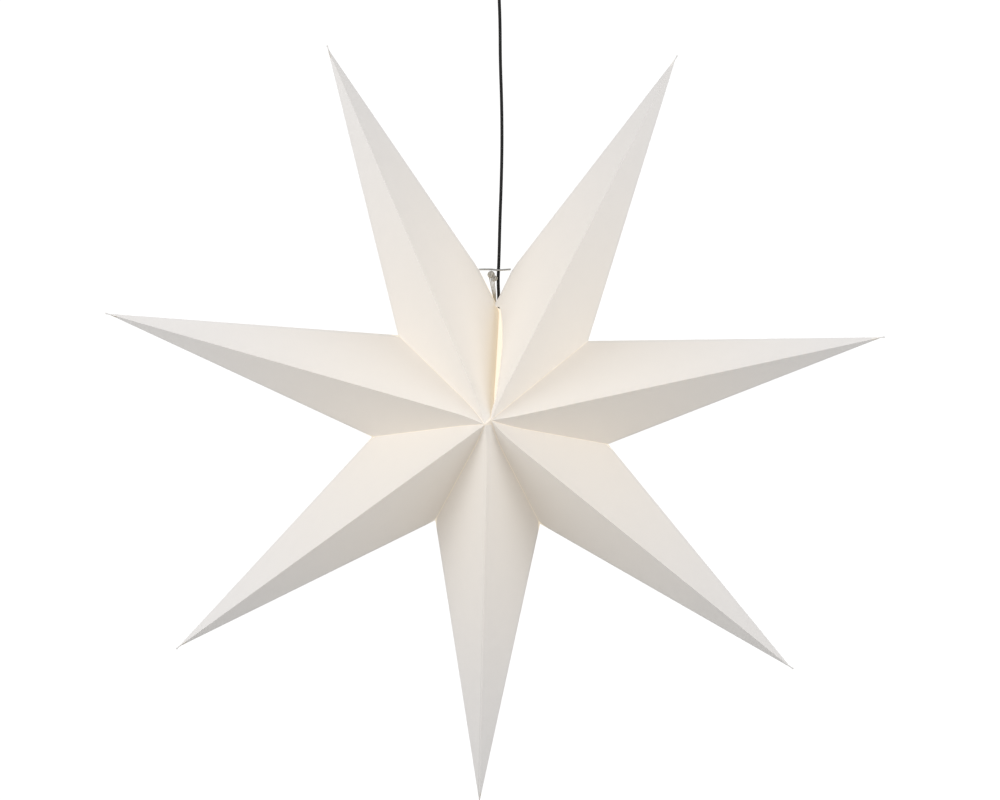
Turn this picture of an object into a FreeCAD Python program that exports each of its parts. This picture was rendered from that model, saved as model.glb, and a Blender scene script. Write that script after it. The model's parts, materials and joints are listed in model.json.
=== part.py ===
"""A seven-pointed folding paper star lantern, one metre across, on its mains cord.

Frame: millimetres, +Z up, the star's front towards -Y. The origin is in the ceiling's face, on
the cord's axis. The paper of each point is four triangles, two in front and two behind, that meet
along the front and back ridges and the two side edges. They are cut back from those edges, so
that the whole star folds: the points swing about the line through both hubs while each triangle
turns about an axis through its own tip.
"""
import FreeCAD, Part
import math
import os

import Sketcher

SIZES = {
    # paper star
    "star_radius": 500.0,  # tip circle
    "notch_radius": 153.0,  # inner corners between the points
    "half_depth": 140.0,  # each hub's distance from the star's middle plane
    "points": 7,
    "paper_thickness": 0.3,
    "folded_half_angle": 3.5,  # half of one point's angle, in degrees, with the star folded
    "star_lean": 1.7,  # degrees that the star leans about its hanger bar
    "star_shift": 4.7,  # how far left of the cord's axis the knot holds the bar's middle
    "centre_drop": 600.0,  # ceiling to the star's centre
    # how far each triangle's corners stand back from its edges, so that it folds clear
    "ridge_gap_hub": 8.0,
    "ridge_gap_tip": 3.5,
    "side_gap_notch": 5.0,
    "side_gap_tip": 3.5,
    "valley_gap_hub": 3.0,
    "valley_gap_notch": 5.5,
    "slit_gap": 9.0,  # the same corner beside the slit that the cord passes through
    # flattened tab that closes each tip
    "tab_length": 17.0,
    "tab_overhang": 3.0,
    "tab_width": 2.5,
    "tab_thickness": 1.2,
    # wire bar and string that close the slit above the notch
    "hanger_rise": 28.0,  # bar above the notch
    "wire_diameter": 2.0,
    "bar_clearance": 1.0,  # between the bar and the cord behind it
    "bar_end_clearance": 0.6,
    "knot_radius": 4.6,
    "knot_offset": 9.5,
    "string_diameter": 1.2,
    "string_spread": 3.0,
    # mains cord
    "cord_diameter": 4.0,
    # lampholder and bulb
    "holder_rise": 105.0,  # top of the lampholder above the star's centre
    "holder_length": 58.0,
    "holder_radius": 13.5,
    "holder_wall": 1.6,
    "grip_length": 23.0,
    "grip_radius": 6.5,
    "grip_tip_radius": 3.3,
    "insert_length": 26.0,
    "insert_wall": 3.0,
    "cap_radius": 6.9,
    "cap_length": 22.0,
    "screw_clearance": 0.25,
    "globe_radius": 22.5,
    "globe_wall": 1.0,
    "neck_length": 8.0,
    "part_gap": 0.3,
    # ceiling cup with a ball that lets the cord swing
    "cup_radius": 36.0,
    "cup_height": 28.0,
    "cup_wall": 1.6,
    "cup_edge_fillet": 4.0,
    "cup_hole_radius": 6.8,
    "ball_radius": 8.0,
    "ball_neck_radius": 3.4,
    "ball_neck_length": 16.0,
    "bracket_width": 14.0,
    "bracket_thickness": 1.5,
    "bracket_tab_drop": 14.0,
    "fixing_spacing": 44.0,
    "fixing_hole_radius": 2.3,
    "screw_radius": 1.5,
    "screw_head_radius": 3.0,
    "screw_head_height": 1.6,
    "terminal_length": 20.0,
    "terminal_width": 12.0,
    "terminal_height": 9.0,
    "terminal_bore_radius": 2.0,
}

# Points of the star by their place in the fan, counted from the bottom point, which stays still.
POINT_NAMES = {
    0: "bottom",
    1: "right_low",
    2: "right_mid",
    3: "right_top",
    -1: "left_low",
    -2: "left_mid",
    -3: "left_top",
}

# The four triangles of a point: front or back, and on its clockwise or anticlockwise side.
PANEL_SIDES = {
    "front_cw": (-1, -1),
    "front_ccw": (-1, 1),
    "back_cw": (1, -1),
    "back_ccw": (1, 1),
}

# The cord's way from the ball's neck down to the lampholder, as (x, z below the ceiling).
# Its first and last points come from the ball and the lampholder.
CORD_ROUTE = [
    (0.0, -72.0),
    (1.6, -112.0),
    (1.8, -160.0),
    (3.6, -210.0),
    (4.1, -262.0),
    (3.1, -312.0),
    (1.3, -360.0),
    (0.4, -402.0),
    (-1.0, -432.0),
    (0.0, -454.0),
]

doc = FreeCAD.newDocument("PaperStar")
sheet = doc.addObject("Spreadsheet::Sheet", "Sizes")
for row, (alias, number) in enumerate(SIZES.items(), start=1):
    sheet.set("A%d" % row, alias)
    sheet.set("B%d" % row, str(number))
    sheet.setAlias("B%d" % row, alias)
doc.recompute()
sub_parts = []


def value(expression):
    """The number that an expression on the sheet's values gives."""
    result = sheet.evalExpression(expression)
    return float(getattr(result, "Value", result))


def keep(part, label):
    """Give a sub-part the name of its file and put it on the list to export."""
    part.Label = label
    sub_parts.append(part)
    return part


def origin_plane(body, role):
    """One of a body's own origin planes."""
    return next(f for f in body.Origin.OriginFeatures if f.Role == role)


def new_sketch(body, name, role):
    """A sketch on one of the body's origin planes."""
    sketch = body.newObject("Sketcher::SketchObject", name)
    sketch.AttachmentSupport = (origin_plane(body, role), [""])
    sketch.MapMode = "FlatFace"
    return sketch


def place_vertex(sketch, line, axis, expression):
    """Hold a line's first point at a signed distance from the origin, along X or Y."""
    number = value(expression)
    if abs(number) < 1e-9:
        sketch.addConstraint(Sketcher.Constraint("PointOnObject", line, 1, -2 if axis == "X" else -1))
        return
    ends = (-1, 1, line, 1) if number > 0 else (line, 1, -1, 1)
    sign = "" if number > 0 else "-1 * "
    index = sketch.addConstraint(Sketcher.Constraint("Distance" + axis, *ends, abs(number)))
    sketch.setExpression("Constraints[%d]" % index, "%s(%s)" % (sign, expression))


def polygon(sketch, corners):
    """A closed outline whose corners are pairs of expressions."""
    spots = [FreeCAD.Vector(value(x), value(y), 0) for x, y in corners]
    count = len(spots)
    for i in range(count):
        sketch.addGeometry(Part.LineSegment(spots[i], spots[(i + 1) % count]), False)
    for i in range(count):
        sketch.addConstraint(Sketcher.Constraint("Coincident", i, 2, (i + 1) % count, 1))
    for i, (x, y) in enumerate(corners):
        place_vertex(sketch, i, "X", x)
        place_vertex(sketch, i, "Y", y)


def turned_body(name, corners):
    """A body turned about Z from an outline of (radius, height) expressions."""
    body = doc.addObject("PartDesign::Body", name)
    sketch = new_sketch(body, name + "_profile", "XZ_Plane")
    polygon(sketch, corners)
    doc.recompute()
    turn = body.newObject("PartDesign::Revolution", name + "_turned")
    turn.Profile = sketch
    turn.ReferenceAxis = (sketch, ["V_Axis"])
    turn.Angle = 360
    doc.recompute()
    return body


def ball_with_neck(name):
    """The ball that hangs in the ceiling cup: sphere and neck fused."""
    ball = doc.addObject("Part::Sphere", name + "_ball")
    ball.setExpression("Radius", "Sizes.ball_radius")
    neck = doc.addObject("Part::Cylinder", name + "_neck")
    neck.setExpression("Radius", "Sizes.ball_neck_radius")
    neck.setExpression("Height", "Sizes.ball_neck_length")
    neck.setExpression("Placement.Base.z", "-Sizes.ball_neck_length")
    fuse = doc.addObject("Part::Fuse", name)
    fuse.Base = ball
    fuse.Tool = neck
    return fuse


# ---------------------------------------------------------------- paper star

half_angle = math.pi / SIZES["points"]
lean = math.radians(SIZES["star_lean"])
hanger_height = SIZES["notch_radius"] + SIZES["hanger_rise"]
centre_height = -SIZES["centre_drop"]

# The star leans about the middle of its hanger bar.
STAR_PLACE = FreeCAD.Placement(
    FreeCAD.Vector(
        -SIZES["star_shift"] - hanger_height * math.sin(lean),
        0,
        centre_height + hanger_height * (1 - math.cos(lean)),
    ),
    FreeCAD.Rotation(FreeCAD.Vector(0, 1, 0), SIZES["star_lean"]),
)


def point_direction(k):
    """Unit vector from the star's centre along point k."""
    angle = -math.pi / 2 + 2 * k * half_angle
    return FreeCAD.Vector(math.cos(angle), 0, math.sin(angle))


def panel_corners(k, depth_side, turn_side):
    """Hub, tip and notch of one triangle, in the star's own frame."""
    hub = FreeCAD.Vector(0, depth_side * SIZES["half_depth"], 0)
    tip = point_direction(k) * SIZES["star_radius"]
    notch = point_direction(k + turn_side / 2) * SIZES["notch_radius"]
    return hub, tip, notch


def panel_place(k, depth_side, turn_side):
    """Where a flat triangle, drawn with its ridge along X, stands in the star."""
    hub, tip, notch = panel_corners(k, depth_side, turn_side)
    along = (tip - hub).normalize()
    across = (notch - hub) - along * (notch - hub).dot(along)
    across.normalize()
    turned = FreeCAD.Rotation(along, across, along.cross(across), "XYZ")
    return STAR_PLACE.multiply(FreeCAD.Placement(hub, turned))


RIDGE = "sqrt(Sizes.star_radius ^ 2 + Sizes.half_depth ^ 2)"
VALLEY = "sqrt(Sizes.notch_radius ^ 2 + Sizes.half_depth ^ 2)"
SIDE = (
    "sqrt(Sizes.star_radius ^ 2 + Sizes.notch_radius ^ 2"
    " - 2 * Sizes.star_radius * Sizes.notch_radius * cos(180 deg / Sizes.points))"
)


def paper_triangle(name, notch_gap):
    """One flat triangle of paper, cut back from its ridge, side edge and valley."""
    body = doc.addObject("PartDesign::Body", name)
    sketch = new_sketch(body, name + "_outline", "XY_Plane")
    ridge, valley, side = value(RIDGE), value(VALLEY), value(SIDE)
    notch_x = (ridge**2 + valley**2 - side**2) / (2 * ridge)
    hub = FreeCAD.Vector(0, 0, 0)
    tip = FreeCAD.Vector(ridge, 0, 0)
    notch = FreeCAD.Vector(notch_x, math.sqrt(valley**2 - notch_x**2), 0)
    middle = (hub + tip + notch) / 3
    full = [hub, tip, notch]
    cut = [corner + (middle - corner) * 0.1 for corner in full]
    # lines 0 to 2 are the folds, ridge, side edge and valley; lines 3 to 5 are the cut edges
    for i in range(3):
        sketch.addGeometry(Part.LineSegment(full[i], full[(i + 1) % 3]), True)
    for i in range(3):
        sketch.addGeometry(Part.LineSegment(cut[i], cut[(i + 1) % 3]), False)
    for i in range(3):
        sketch.addConstraint(Sketcher.Constraint("Coincident", i, 2, (i + 1) % 3, 1))
        sketch.addConstraint(Sketcher.Constraint("Coincident", 3 + i, 2, 3 + (i + 1) % 3, 1))
    sketch.addConstraint(Sketcher.Constraint("Coincident", 0, 1, -1, 1))
    sketch.addConstraint(Sketcher.Constraint("PointOnObject", 0, 2, -1))
    for line, expression in enumerate((RIDGE, SIDE, VALLEY)):
        ends = (line, 1, line, 2)
        index = sketch.addConstraint(Sketcher.Constraint("Distance", *ends, value(expression)))
        sketch.setExpression("Constraints[%d]" % index, expression)
    # each cut corner's distance from the two folds beside it
    gaps = [
        (3, 0, "ridge_gap_hub"),
        (3, 2, "valley_gap_hub"),
        (4, 0, "ridge_gap_tip"),
        (4, 1, "side_gap_tip"),
        (5, 1, "side_gap_notch"),
        (5, 2, notch_gap),
    ]
    for line, fold, alias in gaps:
        index = sketch.addConstraint(Sketcher.Constraint("Distance", line, 1, fold, SIZES[alias]))
        sketch.setExpression("Constraints[%d]" % index, "Sizes.%s" % alias)
    pad = body.newObject("PartDesign::Pad", name + "_sheet")
    pad.Profile = sketch
    pad.Midplane = True
    pad.setExpression("Length", "Sizes.paper_thickness")
    return body


def tip_tab(name):
    """The flattened end of a point, drawn out along X from the star's centre."""
    body = doc.addObject("PartDesign::Body", name)
    sketch = new_sketch(body, name + "_outline", "XZ_Plane")
    start = "Sizes.star_radius + Sizes.tab_overhang - Sizes.tab_length"
    end = "Sizes.star_radius + Sizes.tab_overhang"
    half = "Sizes.tab_width / 2"
    polygon(sketch, [(start, "-" + half), (end, "-" + half), (end, half), (start, half)])
    doc.recompute()
    pad = body.newObject("PartDesign::Pad", name + "_tab")
    pad.Profile = sketch
    pad.Midplane = True
    pad.setExpression("Length", "Sizes.tab_thickness")
    return body


def paper_star():
    """Every point's four triangles and its tab."""
    for k, point in POINT_NAMES.items():
        for side, (depth_side, turn_side) in PANEL_SIDES.items():
            at_slit = abs(k) == 3 and turn_side * k > 0
            label = "%s_%s" % (point, side)
            panel = keep(paper_triangle(label, "slit_gap" if at_slit else "valley_gap_notch"), label)
            panel.Placement = panel_place(k, depth_side, turn_side)
        tab = keep(tip_tab(point + "_tip"), point + "_tip")
        angle = math.degrees(-math.pi / 2 + 2 * k * half_angle)
        outward = FreeCAD.Placement(FreeCAD.Vector(), FreeCAD.Rotation(FreeCAD.Vector(0, -1, 0), angle))
        tab.Placement = STAR_PLACE.multiply(outward)


# ---------------------------------------------------------------- hanger

# half the notch's width at the height of the hanger bar
BAR_REACH = (
    "Sizes.hanger_rise * Sizes.star_radius * sin(180 deg / Sizes.points)"
    " / (Sizes.star_radius * cos(180 deg / Sizes.points) - Sizes.notch_radius)"
)

bar_forward = SIZES["cord_diameter"] / 2 + SIZES["bar_clearance"] + SIZES["wire_diameter"] / 2


def hanger_bar():
    """The wire bar that holds the two top points together."""
    body = doc.addObject("PartDesign::Body", "hanger_bar")
    sketch = new_sketch(body, "hanger_bar_section", "YZ_Plane")
    sketch.addGeometry(Part.Circle(FreeCAD.Vector(), FreeCAD.Vector(0, 0, 1), SIZES["wire_diameter"] / 2))
    sketch.addConstraint(Sketcher.Constraint("Coincident", 0, 3, -1, 1))
    index = sketch.addConstraint(Sketcher.Constraint("Diameter", 0, SIZES["wire_diameter"]))
    sketch.setExpression("Constraints[%d]" % index, "Sizes.wire_diameter")
    doc.recompute()
    pad = body.newObject("PartDesign::Pad", "hanger_bar_wire")
    pad.Profile = sketch
    pad.Midplane = True
    pad.setExpression("Length", "2 * (%s - Sizes.bar_end_clearance)" % BAR_REACH)
    keep(body, "hanger_bar").Placement.Base = FreeCAD.Vector(
        -SIZES["star_shift"], -bar_forward, centre_height + hanger_height
    )


def tie_string():
    """Knot under the hanger bar and the strands from it down to the notch."""
    knot_top = centre_height + hanger_height - SIZES["wire_diameter"] / 2 - SIZES["part_gap"]
    knot_middle = FreeCAD.Vector(-SIZES["knot_offset"], -bar_forward, knot_top - SIZES["knot_radius"])
    knot = Part.makeSphere(SIZES["knot_radius"], knot_middle)
    strands = []
    for side in (-1, 0, 1):
        foot = FreeCAD.Vector(
            -SIZES["cord_diameter"] + side * SIZES["string_diameter"] / 2,
            -bar_forward,
            centre_height + SIZES["notch_radius"] + SIZES["string_diameter"],
        )
        start = knot_middle + FreeCAD.Vector(side * SIZES["string_spread"] / 2, 0, 0)
        run = foot - start
        strands.append(Part.makeCylinder(SIZES["string_diameter"] / 2, run.Length, start, run))
    string = doc.addObject("Part::Feature", "tie_string")
    string.Shape = knot.multiFuse(strands).removeSplitter()
    keep(string, "tie_string")


# ---------------------------------------------------------------- lamp


def lamp():
    """Lampholder, its insert and contact, the cord's grip and the bulb."""
    holder = turned_body(
        "holder_shell",
        [
            ("Sizes.holder_radius - Sizes.holder_wall", "-Sizes.holder_length"),
            ("Sizes.holder_radius", "-Sizes.holder_length"),
            ("Sizes.holder_radius", "-Sizes.holder_wall * 2"),
            ("Sizes.holder_radius - Sizes.holder_wall * 2", "0"),
            ("0", "0"),
            ("0", "-Sizes.holder_wall"),
            ("Sizes.holder_radius - Sizes.holder_wall * 2.5", "-Sizes.holder_wall"),
            ("Sizes.holder_radius - Sizes.holder_wall", "-Sizes.holder_wall * 2.5"),
        ],
    )
    insert = turned_body(
        "holder_insert",
        [
            ("Sizes.cap_radius + Sizes.screw_clearance", "0"),
            ("Sizes.holder_radius - Sizes.holder_wall - Sizes.part_gap", "0"),
            ("Sizes.holder_radius - Sizes.holder_wall - Sizes.part_gap", "Sizes.insert_length"),
            ("0", "Sizes.insert_length"),
            ("0", "Sizes.insert_length - Sizes.insert_wall"),
            ("Sizes.cap_radius + Sizes.screw_clearance", "Sizes.insert_length - Sizes.insert_wall"),
        ],
    )
    grip = turned_body(
        "cord_grip",
        [
            ("0", "0"),
            ("Sizes.grip_radius", "0"),
            ("Sizes.grip_radius", "Sizes.grip_length * 0.35"),
            ("Sizes.grip_tip_radius", "Sizes.grip_length"),
            ("0", "Sizes.grip_length"),
        ],
    )
    cap = turned_body(
        "bulb_cap",
        [
            ("0", "0"),
            ("Sizes.cap_radius", "0"),
            ("Sizes.cap_radius", "Sizes.cap_length * 0.8"),
            ("Sizes.cap_radius * 0.4", "Sizes.cap_length"),
            ("0", "Sizes.cap_length"),
        ],
    )
    top = centre_height + SIZES["holder_rise"]
    mouth = top - SIZES["holder_length"]
    keep(holder, "holder_shell").Placement.Base.z = top
    keep(insert, "holder_insert").Placement.Base.z = mouth
    keep(grip, "cord_grip").Placement.Base.z = top
    keep(cap, "bulb_cap").Placement.Base.z = mouth
    keep(bulb_globe(), "bulb_globe").Placement.Base.z = mouth - SIZES["part_gap"]


def bulb_globe():
    """Hollow glass globe with a neck as wide as the cap, its open top at the cap."""
    solids = []
    for name, inset in (("outside", "0"), ("inside", "Sizes.globe_wall")):
        ball = doc.addObject("Part::Sphere", "globe_ball_" + name)
        ball.setExpression("Radius", "Sizes.globe_radius - " + inset)
        ball.setExpression("Placement.Base.z", "-Sizes.neck_length - Sizes.globe_radius")
        neck = doc.addObject("Part::Cylinder", "globe_neck_" + name)
        neck.setExpression("Radius", "Sizes.cap_radius - " + inset)
        neck.setExpression("Height", "Sizes.neck_length + Sizes.globe_radius")
        neck.setExpression("Placement.Base.z", "-Sizes.neck_length - Sizes.globe_radius")
        fuse = doc.addObject("Part::Fuse", "globe_" + name)
        fuse.Base = ball
        fuse.Tool = neck
        solids.append(fuse)
    globe = doc.addObject("Part::Cut", "bulb_globe")
    globe.Base = solids[0]
    globe.Tool = solids[1]
    return globe


# ---------------------------------------------------------------- ceiling fitting

# the ball's centre, resting with a small gap on the rim of the cup's hole
ball_height = -SIZES["cup_height"] + SIZES["cup_wall"] + math.sqrt(
    (SIZES["ball_radius"] + SIZES["part_gap"]) ** 2 - SIZES["cup_hole_radius"] ** 2
)


def ceiling_cup():
    """Round cup, open towards the ceiling, with the ball's hole in its floor."""
    cup = turned_body(
        "ceiling_cup",
        [
            ("Sizes.cup_hole_radius", "-Sizes.cup_height"),
            ("Sizes.cup_radius - Sizes.cup_edge_fillet", "-Sizes.cup_height"),
            ("Sizes.cup_radius", "-Sizes.cup_height + Sizes.cup_edge_fillet"),
            ("Sizes.cup_radius", "-Sizes.part_gap"),
            ("Sizes.cup_radius - Sizes.cup_wall", "-Sizes.part_gap"),
            ("Sizes.cup_radius - Sizes.cup_wall", "-Sizes.cup_height + Sizes.cup_edge_fillet"),
            ("Sizes.cup_radius - Sizes.cup_edge_fillet", "-Sizes.cup_height + Sizes.cup_wall"),
            ("Sizes.cup_hole_radius", "-Sizes.cup_height + Sizes.cup_wall"),
        ],
    )
    sketch = new_sketch(cup, "cup_screw_hole", "YZ_Plane")
    sketch.addGeometry(Part.Circle(FreeCAD.Vector(), FreeCAD.Vector(0, 0, 1), SIZES["screw_radius"]))
    sketch.addConstraint(Sketcher.Constraint("PointOnObject", 0, 3, -2))
    index = sketch.addConstraint(Sketcher.Constraint("Radius", 0, SIZES["screw_radius"]))
    sketch.setExpression("Constraints[%d]" % index, "Sizes.screw_radius + Sizes.part_gap")
    index = sketch.addConstraint(
        Sketcher.Constraint("DistanceY", 0, 3, -1, 1, SIZES["bracket_tab_drop"] / 2)
    )
    sketch.setExpression("Constraints[%d]" % index, "Sizes.bracket_tab_drop / 2")
    doc.recompute()
    holes = cup.newObject("PartDesign::Pocket", "cup_screw_holes")
    holes.Profile = sketch
    holes.Type = "ThroughAll"
    holes.Midplane = True
    keep(cup, "ceiling_cup")


def ceiling_bracket():
    """Steel strip screwed to the ceiling, its two tabs turned down inside the cup."""
    body = doc.addObject("PartDesign::Body", "ceiling_bracket")
    # the tabs' outer corners stand a gap inside the cup's round wall
    reach = (
        "(sqrt((Sizes.cup_radius - Sizes.cup_wall - Sizes.part_gap) ^ 2"
        " - (Sizes.bracket_width / 2) ^ 2))"
    )
    inner = "(%s - Sizes.bracket_thickness)" % reach
    sketch = new_sketch(body, "bracket_side", "XZ_Plane")
    polygon(
        sketch,
        [
            ("-1 * " + reach, "0"),
            (reach, "0"),
            (reach, "-Sizes.bracket_tab_drop"),
            (inner, "-Sizes.bracket_tab_drop"),
            (inner, "-Sizes.bracket_thickness"),
            ("-1 * " + inner, "-Sizes.bracket_thickness"),
            ("-1 * " + inner, "-Sizes.bracket_tab_drop"),
            ("-1 * " + reach, "-Sizes.bracket_tab_drop"),
        ],
    )
    doc.recompute()
    pad = body.newObject("PartDesign::Pad", "bracket_strip")
    pad.Profile = sketch
    pad.Midplane = True
    pad.setExpression("Length", "Sizes.bracket_width")
    holes = new_sketch(body, "bracket_fixings", "XY_Plane")
    for side in (0, 1):
        centre = FreeCAD.Vector((side - 0.5) * SIZES["fixing_spacing"], 0, 0)
        holes.addGeometry(Part.Circle(centre, FreeCAD.Vector(0, 0, 1), SIZES["fixing_hole_radius"]))
        holes.addConstraint(Sketcher.Constraint("PointOnObject", side, 3, -1))
        index = holes.addConstraint(Sketcher.Constraint("Radius", side, SIZES["fixing_hole_radius"]))
        holes.setExpression("Constraints[%d]" % index, "Sizes.fixing_hole_radius")
        ends = (-1, 1, side, 3) if side else (side, 3, -1, 1)
        index = holes.addConstraint(Sketcher.Constraint("DistanceX", *ends, SIZES["fixing_spacing"] / 2))
        holes.setExpression("Constraints[%d]" % index, "Sizes.fixing_spacing / 2")
    doc.recompute()
    drilled = body.newObject("PartDesign::Pocket", "bracket_holes")
    drilled.Profile = holes
    drilled.Type = "ThroughAll"
    drilled.Midplane = True
    tapped = new_sketch(body, "bracket_tapped", "YZ_Plane")
    tapped.addGeometry(Part.Circle(FreeCAD.Vector(), FreeCAD.Vector(0, 0, 1), SIZES["screw_radius"]))
    tapped.addConstraint(Sketcher.Constraint("PointOnObject", 0, 3, -2))
    index = tapped.addConstraint(Sketcher.Constraint("Radius", 0, SIZES["screw_radius"]))
    tapped.setExpression("Constraints[%d]" % index, "Sizes.screw_radius")
    index = tapped.addConstraint(
        Sketcher.Constraint("DistanceY", 0, 3, -1, 1, SIZES["bracket_tab_drop"] / 2)
    )
    tapped.setExpression("Constraints[%d]" % index, "Sizes.bracket_tab_drop / 2")
    doc.recompute()
    threads = body.newObject("PartDesign::Pocket", "bracket_threads")
    threads.Profile = tapped
    threads.Type = "ThroughAll"
    threads.Midplane = True
    keep(body, "ceiling_bracket")


def cup_screws():
    """Two screws through the cup's wall into the bracket's tabs."""
    screws = []
    for side in (-1, 1):
        shank = doc.addObject("Part::Cylinder", "screw_shank")
        shank.setExpression("Radius", "Sizes.screw_radius")
        shank.setExpression("Height", "Sizes.cup_wall + Sizes.part_gap + 2 * Sizes.bracket_thickness")
        head = doc.addObject("Part::Cylinder", "screw_head")
        head.setExpression("Radius", "Sizes.screw_head_radius")
        head.setExpression("Height", "Sizes.screw_head_height")
        head.setExpression("Placement.Base.z", "-Sizes.screw_head_height")
        screw = doc.addObject("Part::Fuse", "cup_screw")
        screw.Base = shank
        screw.Tool = head
        screw.Placement = FreeCAD.Placement(
            FreeCAD.Vector(side * SIZES["cup_radius"], 0, -SIZES["bracket_tab_drop"] / 2),
            FreeCAD.Rotation(FreeCAD.Vector(0, 0, 1), FreeCAD.Vector(-side, 0, 0)),
        )
        screws.append(screw)
    group = doc.addObject("Part::Compound", "cup_screws")
    group.Links = screws
    keep(group, "cup_screws")


def terminal_block():
    """Connector block under the bracket's strip, with a bore through for each pole."""
    block = doc.addObject("Part::Box", "terminal_body")
    block.setExpression("Length", "Sizes.terminal_width")
    block.setExpression("Width", "Sizes.terminal_length")
    block.setExpression("Height", "Sizes.terminal_height")
    bores = []
    for side in (-1, 1):
        bore = doc.addObject("Part::Cylinder", "terminal_bore")
        bore.setExpression("Radius", "Sizes.terminal_bore_radius")
        bore.setExpression("Height", "Sizes.terminal_width")
        bore.Placement.Rotation = FreeCAD.Rotation(FreeCAD.Vector(0, 0, 1), FreeCAD.Vector(1, 0, 0))
        offset = "+" if side > 0 else "-"
        bore.setExpression("Placement.Base.y", "Sizes.terminal_length * (0.5 %s 0.25)" % offset)
        bore.setExpression("Placement.Base.z", "Sizes.terminal_height / 2")
        bores.append(bore)
    pair = doc.addObject("Part::MultiFuse", "terminal_bores")
    pair.Shapes = bores
    drilled = doc.addObject("Part::Cut", "terminal_block")
    drilled.Base = block
    drilled.Tool = pair
    keep(drilled, "terminal_block").Placement.Base = FreeCAD.Vector(
        SIZES["ball_radius"] + 2 * SIZES["part_gap"],
        -SIZES["terminal_length"] / 2,
        -SIZES["bracket_thickness"] - SIZES["terminal_height"],
    )


def cord_ball():
    """The ball on the cord's end and the neck that leaves the cup."""
    keep(ball_with_neck("cord_ball"), "cord_ball").Placement.Base.z = ball_height


# ---------------------------------------------------------------- cord


def smooth_route(spots):
    """Straight runs joined by tangent arcs, and the arcs' radii."""
    edges = []
    radii = []
    start = spots[0]
    for before, here, after in zip(spots, spots[1:], spots[2:]):
        back = (before - here).normalize()
        onward = (after - here).normalize()
        turn = math.pi - back.getAngle(onward)
        reach = 0.45 * min(before.distanceToPoint(here), here.distanceToPoint(after))
        radii.append(reach / math.tan(turn / 2))
        first = here + back * reach
        last = here + onward * reach
        bisector = (back + onward).normalize()
        centre = here + bisector * (reach / math.sin(turn / 2))
        edges.append(Part.LineSegment(start, first).toShape())
        edges.append(Part.Arc(first, centre - bisector * radii[-1], last).toShape())
        start = last
    edges.append(Part.LineSegment(start, spots[-1]).toShape())
    return edges, radii


def cord():
    """The mains cord, from the ball's neck to the lampholder's grip."""
    start = FreeCAD.Vector(0, 0, ball_height - SIZES["ball_neck_length"])
    end = FreeCAD.Vector(0, 0, centre_height + SIZES["holder_rise"] + SIZES["grip_length"])
    spots = [start] + [FreeCAD.Vector(x, 0, z) for x, z in CORD_ROUTE] + [end]
    edges, radii = smooth_route(spots)
    path = Part.Wire(edges)
    section = Part.Wire(Part.Circle(start, spots[1] - start, SIZES["cord_diameter"] / 2).toShape())
    tube = doc.addObject("Part::Feature", "cord")
    tube.Shape = path.makePipeShell([section], True, False)
    keep(tube, "cord")
    wanted = math.pi * SIZES["cord_diameter"] ** 2 / 4 * path.Length
    print("cord length %.1f, least radius %.0f, volume against section times length %.4f"
          % (path.Length, min(radii), tube.Shape.Volume / wanted))
    print("cord radii", [round(radius) for radius in radii])


paper_star()
hanger_bar()
tie_string()
lamp()
ceiling_cup()
ceiling_bracket()
cup_screws()
terminal_block()
cord_ball()
cord()
doc.recompute()

faults = [o.Name for o in doc.Objects if "Invalid" in o.State or "Error" in o.State]
faults += [p.Label for p in sub_parts if p.Shape.isNull() or not p.Shape.isValid()]
if faults:
    raise RuntimeError("not built: " + ", ".join(faults))

os.makedirs("parts", exist_ok=True)
for part in sub_parts:
    part.Shape.exportStep("parts/%s.step" % part.Label)
print(len(sub_parts), "sub-parts")
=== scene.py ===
"""Looks of a folding paper star lantern on its cord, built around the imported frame.

Metres, +Z up, the star's front towards -Y, the origin in the ceiling's face on the cord's axis.
"""
import json
import math

import bmesh
import bpy
from bpy.props import FloatProperty, FloatVectorProperty, IntProperty, PointerProperty
from mathutils import Matrix, Vector

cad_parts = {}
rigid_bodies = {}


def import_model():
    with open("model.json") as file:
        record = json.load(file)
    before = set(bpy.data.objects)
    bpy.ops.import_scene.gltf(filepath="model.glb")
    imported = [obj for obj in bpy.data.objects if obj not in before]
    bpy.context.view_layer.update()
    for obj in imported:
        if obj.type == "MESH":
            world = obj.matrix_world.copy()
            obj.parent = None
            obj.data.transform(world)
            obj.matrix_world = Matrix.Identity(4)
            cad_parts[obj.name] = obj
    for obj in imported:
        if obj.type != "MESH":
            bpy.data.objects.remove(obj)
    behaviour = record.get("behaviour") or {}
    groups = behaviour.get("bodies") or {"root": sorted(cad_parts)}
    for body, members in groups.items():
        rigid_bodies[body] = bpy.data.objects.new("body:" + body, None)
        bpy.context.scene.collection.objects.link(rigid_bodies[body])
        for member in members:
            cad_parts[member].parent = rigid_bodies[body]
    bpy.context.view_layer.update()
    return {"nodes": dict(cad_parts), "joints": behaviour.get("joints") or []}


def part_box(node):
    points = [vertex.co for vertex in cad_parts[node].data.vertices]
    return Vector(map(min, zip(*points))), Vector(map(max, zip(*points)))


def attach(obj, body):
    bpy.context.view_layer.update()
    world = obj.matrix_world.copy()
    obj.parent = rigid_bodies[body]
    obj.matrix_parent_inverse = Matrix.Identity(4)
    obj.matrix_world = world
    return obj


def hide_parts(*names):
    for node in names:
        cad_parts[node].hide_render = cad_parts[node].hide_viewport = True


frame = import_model()

bl_info = {
    "name": "Paper star lantern",
    "version": (1, 0, 0),
    "blender": (4, 5, 0),
    "location": "3D View > Sidebar > Paper star",
    "description": "Paper, hanger, cord, lamp and ceiling fitting of a folding star",
    "category": "Object",
}

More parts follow.
